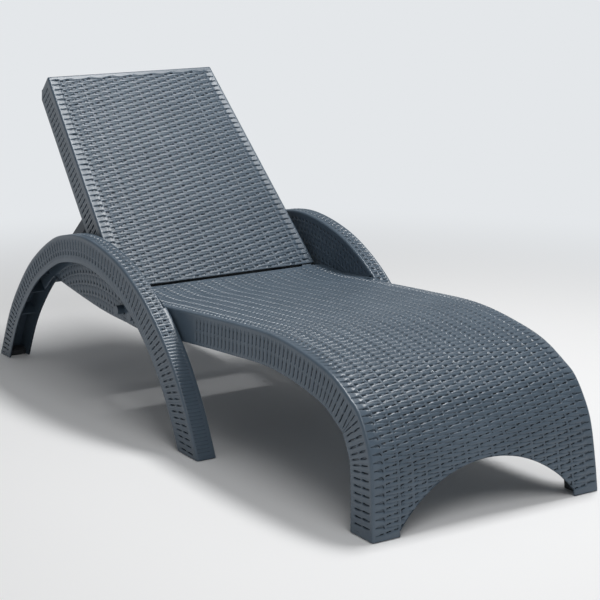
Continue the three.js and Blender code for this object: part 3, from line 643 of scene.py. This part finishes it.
def on_arm_skin(points):
    """Which places of an arm's solid lie where the new skins are."""
    x, y, z = points.T
    y = np.abs(y)
    way, depth = arm_line.measure(x, z)
    band = band_depth(way)
    plane = leg_plane(x, z - WALL_SLACK)
    near = skin_depth(np.minimum(OUTER_PLANE - y, y - plane), depth, CAD_EDGE_RADIUS) < NEAR_SKIN
    near = near & (y > plane - 1)
    outer_wall = OUTER_PLANE - y < SHELL_WALL + WALL_SLACK
    inner_wall = (y - plane < SHELL_WALL + WALL_SLACK) & (y > plane - 1)
    wall = outer_wall | inner_wall
    lower = wall & (depth > band - EDGE_SLACK) & (depth < band + EDGE_SLACK)
    low = np.interp(x, panel_line.x[::-1], panel_line.z[::-1])
    beside_panel = (x < panel_line.x[0] + 1) & (x > panel_line.x[-1] - 1) & (z > low - 1)
    panel = beside_panel & (y > STRIP_PLANE - WALL_SLACK) & (y < STRIP_PLANE + SHELL_WALL + WALL_SLACK)
    panel = panel & ((depth > band - EDGE_SLACK) | (y > STRIP_PLANE + SHELL_WALL - WALL_SLACK))
    return (near & (depth < band + EDGE_SLACK)) | lower | panel


def on_backrest_skin(points):
    """Which places of the backrest's solid lie where the new skins are."""
    x, y, z = points.T
    u = (backrest_foot[0] - x) / QUARTER
    v = (z - backrest_foot[1]) / QUARTER
    up, depth = (u + v) / 2, (u - v) / 2
    inset = backrest_half(up) - np.abs(y)
    inside = np.minimum(skin_depth(inset, depth, CAD_BACKREST_RADIUS), np.minimum(up, BACKREST_LENGTH - up))
    reach = np.where(up < BACKREST_LENGTH / 2, BACKREST_LIP + 1, BACKREST_DEPTH + 1)
    ends = (np.minimum(up - BACKREST_START, BACKREST_LENGTH - up) < NEAR_SKIN) & (depth < reach)
    outer = (inside < NEAR_SKIN) | (up < BACKREST_START + 1)
    covered = (inset < NEAR_SKIN) | (depth < NEAR_SKIN + 4) | ends
    return outer & covered & (up > -1) & (inset > -1)


def moulding(name, skins, node, is_skin, body):
    """A moulded shell: its detailed skins and the CAD solid's inner faces as one mesh."""
    inner_points, inner_faces = cad_faces(node, is_skin)
    points, quads, painted_shade, count = [], [], [], 0
    for skin_points, skin_quads, skin_painted_shade in skins:
        points.append(skin_points)
        quads.append(skin_quads + count)
        painted_shade.append(skin_painted_shade)
        count += len(skin_points)
    points = np.concatenate([*points, inner_points]) * MILLIMETRE
    points[:, 0] += shift
    quads = np.concatenate(quads)
    triangles = inner_faces + count
    painted_shade = np.concatenate([*painted_shade, np.zeros(len(inner_points))])
    mesh = bpy.data.meshes.new(name)
    mesh.vertices.add(len(points))
    mesh.vertices.foreach_set("co", points.ravel())
    corners = np.concatenate([quads.ravel(), triangles.ravel()])
    starts = np.concatenate([
        np.arange(len(quads)) * 4,
        len(quads) * 4 + np.arange(len(triangles)) * 3,
    ])
    mesh.loops.add(len(corners))
    mesh.loops.foreach_set("vertex_index", corners)
    mesh.polygons.add(len(starts))
    mesh.polygons.foreach_set("loop_start", starts)
    mesh.polygons.foreach_set("use_smooth", np.arange(len(starts)) < len(quads))
    # Each vertex's painted shade, which the material uses to darken the hollows' colour
    mesh.attributes.new("painted_shade", "FLOAT", "POINT").data.foreach_set("value", painted_shade)
    mesh.update(calc_edges=True)
    mesh.validate()
    piece = bpy.data.objects.new(name, mesh)
    bpy.context.scene.collection.objects.link(piece)
    piece.data.materials.append(slate_resin)
    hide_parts(node)
    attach(piece, body)


# Materials


def colour(code):
    """An sRGB hex colour as linear values."""
    parts = [int(code[i : i + 2], 16) / 255 for i in (1, 3, 5)]
    return [p / 12.92 if p <= 0.04045 else ((p + 0.055) / 1.055) ** 2.4 for p in parts] + [1]


def add(material, kind, settings=(), links=()):
    """Adds one node; settings and links are (name, value) and (socket, source socket) pairs."""
    node = material.node_tree.nodes.new(kind)
    for name, value in settings:
        if isinstance(name, int) or name in node.inputs:
            node.inputs[name].default_value = value
        else:
            setattr(node, name, value)
    for name, source in links:
        material.node_tree.links.new(source, node.inputs[name])
    return node


def per_metre(millimetres):
    """The scale of a pattern whose grains, lines or clouds are so many millimetres wide."""
    return 1 / (millimetres * MILLIMETRE)


def new_material(name):
    material = bpy.data.materials.new(name)
    material.use_nodes = True
    material.node_tree.nodes.clear()
    return material


def ramp(material, source, stops):
    """A colour between the two stops, by a value between 0 and 1."""
    node = add(material, "ShaderNodeValToRGB", links=[("Fac", source)])
    for element, (place, code) in zip(node.color_ramp.elements, stops):
        element.position, element.color = place, colour(code)
    return node


def background_rays(material):
    """1 for the rays that show the background: straight to the camera, in gloss and through glass."""
    rays = add(material, "ShaderNodeLightPath").outputs
    seen = rays["Is Camera Ray"]
    for kind in ("Is Glossy Ray", "Is Transmission Ray"):
        either = add(material, "ShaderNodeMath", [("operation", "MAXIMUM")], [(0, seen), (1, rays[kind])])
        seen = either.outputs[0]
    return seen


def finish_with(material, colour_socket, rough_socket, bump_socket, settings=()):
    """Ends a material with its shader; the settings are the same all over the surface."""
    shader = add(
        material, "ShaderNodeBsdfPrincipled", settings,
        [("Base Color", colour_socket), ("Roughness", rough_socket), ("Normal", bump_socket)],
    )
    add(material, "ShaderNodeOutputMaterial", links=[("Surface", shader.outputs[0])])
    return material


# The sockets of a Mix node, which share their names: two of a number and two of a colour
VALUE_A, VALUE_B, COLOUR_A, COLOUR_B = 2, 3, 6, 7

# Widths in millimetres of the resin's faint clouds and of its grain, and how dull its hollows are
CLOUD_WIDTH = 111.1
GRAIN_WIDTH = 0.6667
HOLLOW_ROUGHNESS = 0.85
RESIN_IOR = 1.49


def moulded_resin(name, low, high, hole_shade, rough_low, rough_high):
    """Injection moulded resin: satin, with a fine grain from the mould, colour that clouds faintly over
    111 mm, and hollows that are duller and carry painted shade, darker towards the hole colour. The real
    grain is finer than the render shows, so it is drawn 0.67 mm wide."""
    material = new_material(name)
    place = add(material, "ShaderNodeTexCoord").outputs["Object"]
    cloud = add(
        material, "ShaderNodeTexNoise", [("Scale", per_metre(CLOUD_WIDTH)), ("Detail", 3.0)],
        [("Vector", place)],
    )
    grain = add(
        material, "ShaderNodeTexNoise", [("Scale", per_metre(GRAIN_WIDTH)), ("Detail", 2.0)],
        [("Vector", place)],
    )
    body = ramp(material, cloud.outputs["Fac"], [(0.3, low), (0.7, high)])
    # Painted shade: the colour darkens to the hole colour by each vertex's painted shade, and the hollows
    # grow duller
    hollow = add(material, "ShaderNodeAttribute", [("attribute_name", "painted_shade")])
    shade = add(
        material, "ShaderNodeMapRange",
        [("interpolation_type", "SMOOTHSTEP"), ("From Min", 0.25), ("From Max", 0.75)],
        [("Value", hollow.outputs["Fac"])],
    )
    mixed = add(
        material, "ShaderNodeMix", [("data_type", "RGBA"), (COLOUR_B, colour(hole_shade))],
        [(0, shade.outputs["Result"]), (COLOUR_A, body.outputs["Color"])],
    )
    polish = add(
        material, "ShaderNodeMapRange", [("To Min", rough_low), ("To Max", rough_high)],
        [("Value", grain.outputs["Fac"])],
    )
    rough = add(
        material, "ShaderNodeMix", [("data_type", "FLOAT"), (VALUE_B, HOLLOW_ROUGHNESS)],
        [(0, shade.outputs["Result"]), (VALUE_A, polish.outputs["Result"])],
    )
    bump = add(
        material, "ShaderNodeBump", [("Strength", 0.15), ("Distance", 0.2 * MILLIMETRE)],
        [("Height", grain.outputs["Fac"])],
    )
    return finish_with(
        material, mixed.outputs[2], rough.outputs[0], bump.outputs["Normal"], [("IOR", RESIN_IOR)]
    )


# The third colour of each resin is the painted shade at the bottom of the hollows
slate_resin = moulded_resin("moulded_slate_polypropylene", "#4b5966", "#52606d", "#08121a", 0.29, 0.37)
prop_resin = moulded_resin("moulded_prop_polyamide", "#48525c", "#525d68", "#0f1a23", 0.45, 0.6)


# Widths in millimetres of the zinc's spangle, of the marks of drawing and of the rubber's grain
SPANGLE_WIDTH = 3.846
MARK_WIDTH = 1.111
RUBBER_GRAIN_WIDTH = 1.25


def zinc_plated_steel():
    """Drawn steel, zinc plated: cool grey metal whose spangle of 3.8 mm changes its tone, with fine marks of
    1.1 mm. The real marks are finer than the render shows, so they are drawn this coarse."""
    material = new_material("zinc_plated_steel")
    place = add(material, "ShaderNodeTexCoord").outputs["Object"]
    spangle = add(
        material, "ShaderNodeTexVoronoi", [("Scale", per_metre(SPANGLE_WIDTH))], [("Vector", place)]
    )
    marks = add(
        material, "ShaderNodeTexNoise", [("Scale", per_metre(MARK_WIDTH)), ("Detail", 2.0)],
        [("Vector", place)],
    )
    body = ramp(material, spangle.outputs["Distance"], [(0.2, "#b4b9bd"), (0.9, "#c3c6c8")])
    rough = add(
        material, "ShaderNodeMapRange", [("To Min", 0.26), ("To Max", 0.42)],
        [("Value", marks.outputs["Fac"])],
    )
    bump = add(
        material, "ShaderNodeBump", [("Strength", 0.2), ("Distance", 0.1 * MILLIMETRE)],
        [("Height", marks.outputs["Fac"])],
    )
    return finish_with(
        material, body.outputs["Color"], rough.outputs["Result"], bump.outputs["Normal"], [("Metallic", 1.0)]
    )


def moulded_rubber():
    """Moulded black rubber: nearly matt, with a dusty grain of 1.25 mm that lifts its colour in places."""
    material = new_material("moulded_rubber")
    place = add(material, "ShaderNodeTexCoord").outputs["Object"]
    grain = add(
        material, "ShaderNodeTexNoise", [("Scale", per_metre(RUBBER_GRAIN_WIDTH)), ("Detail", 3.0)],
        [("Vector", place)],
    )
    body = ramp(material, grain.outputs["Fac"], [(0.3, "#26292c"), (0.7, "#33373a")])
    rough = add(
        material, "ShaderNodeMapRange", [("To Min", 0.7), ("To Max", 0.9)],
        [("Value", grain.outputs["Fac"])],
    )
    bump = add(
        material, "ShaderNodeBump", [("Strength", 0.3), ("Distance", 0.2 * MILLIMETRE)],
        [("Height", grain.outputs["Fac"])],
    )
    return finish_with(material, body.outputs["Color"], rough.outputs["Result"], bump.outputs["Normal"])


zinc_steel = zinc_plated_steel()
glide_rubber = moulded_rubber()

# The mouldings, each in place of the plain solid that carries its outline
moulding("woven_seat", [seat_skin()], "seat_shell", on_seat_skin, "seat")
moulding("woven_backrest", backrest_skins(), "backrest_shell", on_backrest_skin, "backrest")
moulding("woven_left_arm", arm_skins(1), "left_arm", on_arm_skin, "seat")
moulding("woven_right_arm", arm_skins(-1), "right_arm", on_arm_skin, "seat")

for name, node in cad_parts.items():
    finish = slate_resin
    if name == "prop_frame":
        finish = prop_resin
    elif "glide" in name:
        finish = glide_rubber
    elif "screw" in name or "pin" in name or "bolt" in name or "bar" in name:
        finish = zinc_steel
    node.data.materials.clear()
    node.data.materials.append(finish)

# Studio: a pale floor that keeps the shadow, soft light from above the foot end, and an even sky
BACKDROP = colour("#e4e7ea")
FLOOR_REACH = 30
FAR_FLOOR = (1.3, 3.0)
BACKDROP_TOP = (8, 14)
SKY_STRENGTH = 0.22
floor_corners = [(FLOOR_REACH * x, FLOOR_REACH * y, 0) for x, y in ((-1, -1), (1, -1), (1, 1), (-1, 1))]
floor_mesh = bpy.data.meshes.new("studio_floor")
floor_mesh.from_pydata(floor_corners, [], [(0, 1, 2, 3)])
floor = bpy.data.objects.new("studio_floor", floor_mesh)
bpy.context.scene.collection.objects.link(floor)
floor_paint = new_material("studio_floor_paint")
paper = add(floor_paint, "ShaderNodeBsdfDiffuse", [("Color", colour("#f4f4f4"))])
far_floor = add(floor_paint, "ShaderNodeEmission", [("Color", BACKDROP), ("Strength", 1.0)])
floor_place = add(floor_paint, "ShaderNodeTexCoord").outputs["Object"]
floor_distance = add(floor_paint, "ShaderNodeVectorMath", [("operation", "LENGTH")], [(0, floor_place)])
far_share = add(
    floor_paint, "ShaderNodeMapRange",
    [("interpolation_type", "SMOOTHSTEP"), ("From Min", FAR_FLOOR[0]), ("From Max", FAR_FLOOR[1])],
    [("Value", floor_distance.outputs["Value"])],
)
floor_seen = add(
    floor_paint, "ShaderNodeMath", [("operation", "MULTIPLY")],
    [(0, far_share.outputs["Result"]), (1, background_rays(floor_paint))],
)
whole_floor = add(
    floor_paint, "ShaderNodeMixShader",
    links=[(0, floor_seen.outputs[0]), (1, paper.outputs[0]), (2, far_floor.outputs[0])],
)
add(floor_paint, "ShaderNodeOutputMaterial", links=[("Surface", whole_floor.outputs[0])])
floor_mesh.materials.append(floor_paint)

# The backdrop stands up to a few degrees above the floor's far edge, with a dimmer sky over it
world = bpy.data.worlds.new("studio")
bpy.context.scene.world = world
world.use_nodes = True
world.node_tree.nodes.clear()
sky = add(world, "ShaderNodeBackground", [("Color", colour("#f2f5f8")), ("Strength", SKY_STRENGTH)])
backdrop = add(world, "ShaderNodeBackground", [("Color", BACKDROP), ("Strength", 1.0)])
direction = add(world, "ShaderNodeTexCoord").outputs["Generated"]
height = add(world, "ShaderNodeSeparateXYZ", links=[("Vector", direction)])
backdrop_low, backdrop_high = [math.sin(math.radians(angle)) for angle in BACKDROP_TOP]
low_share = add(
    world, "ShaderNodeMapRange",
    [
        ("interpolation_type", "SMOOTHSTEP"), ("From Min", backdrop_low), ("From Max", backdrop_high),
        ("To Min", 1.0), ("To Max", 0.0),
    ],
    [("Value", height.outputs["Z"])],
)
backdrop_seen = add(
    world, "ShaderNodeMath", [("operation", "MULTIPLY")],
    [(0, low_share.outputs["Result"]), (1, background_rays(world))],
)
both = add(
    world, "ShaderNodeMixShader",
    links=[(0, backdrop_seen.outputs[0]), (1, sky.outputs[0]), (2, backdrop.outputs[0])],
)
add(world, "ShaderNodeOutputWorld", links=[("Surface", both.outputs[0])])

LAMP_AIM = Vector((0, 0, 0.3))


def softbox(name, place, size, power):
    """A soft lamp that faces the lounger's middle."""
    light = bpy.data.lights.new(name, "AREA")
    light.shape, light.energy = "RECTANGLE", power
    light.size, light.size_y = size
    lamp = bpy.data.objects.new(name, light)
    bpy.context.scene.collection.objects.link(lamp)
    lamp.location = place
    lamp.rotation_euler = (lamp.location - LAMP_AIM).to_track_quat("Z", "Y").to_euler()


softbox("key_softbox", (2.7, -0.7, 3.4), (2.2, 2.2), 48)
softbox("glint_softbox", (0.2, 1.1, 3.8), (1.7, 0.7), 100)

# Camera: the photograph's place and direction, its picture centre on the axis
CAMERA_PLACE = (3.8779, -2.3636, 1.3896)
CAMERA_YAW = 147.6175
CAMERA_DOWN = 13.4367
FOCAL_LENGTH_PIXELS = 1787.29
PHOTO_WIDTH_PIXELS = 600
SENSOR_WIDTH = 36
camera_data = bpy.data.cameras.new("camera")
camera_data.sensor_width = SENSOR_WIDTH
camera_data.lens = FOCAL_LENGTH_PIXELS / PHOTO_WIDTH_PIXELS * SENSOR_WIDTH
camera = bpy.data.objects.new("camera", camera_data)
bpy.context.scene.collection.objects.link(camera)
camera.location = CAMERA_PLACE
camera.rotation_euler = (math.radians(90 - CAMERA_DOWN), 0, math.radians(CAMERA_YAW - 90))
bpy.context.scene.camera = camera
bpy.context.scene.view_settings.view_transform = "Standard"
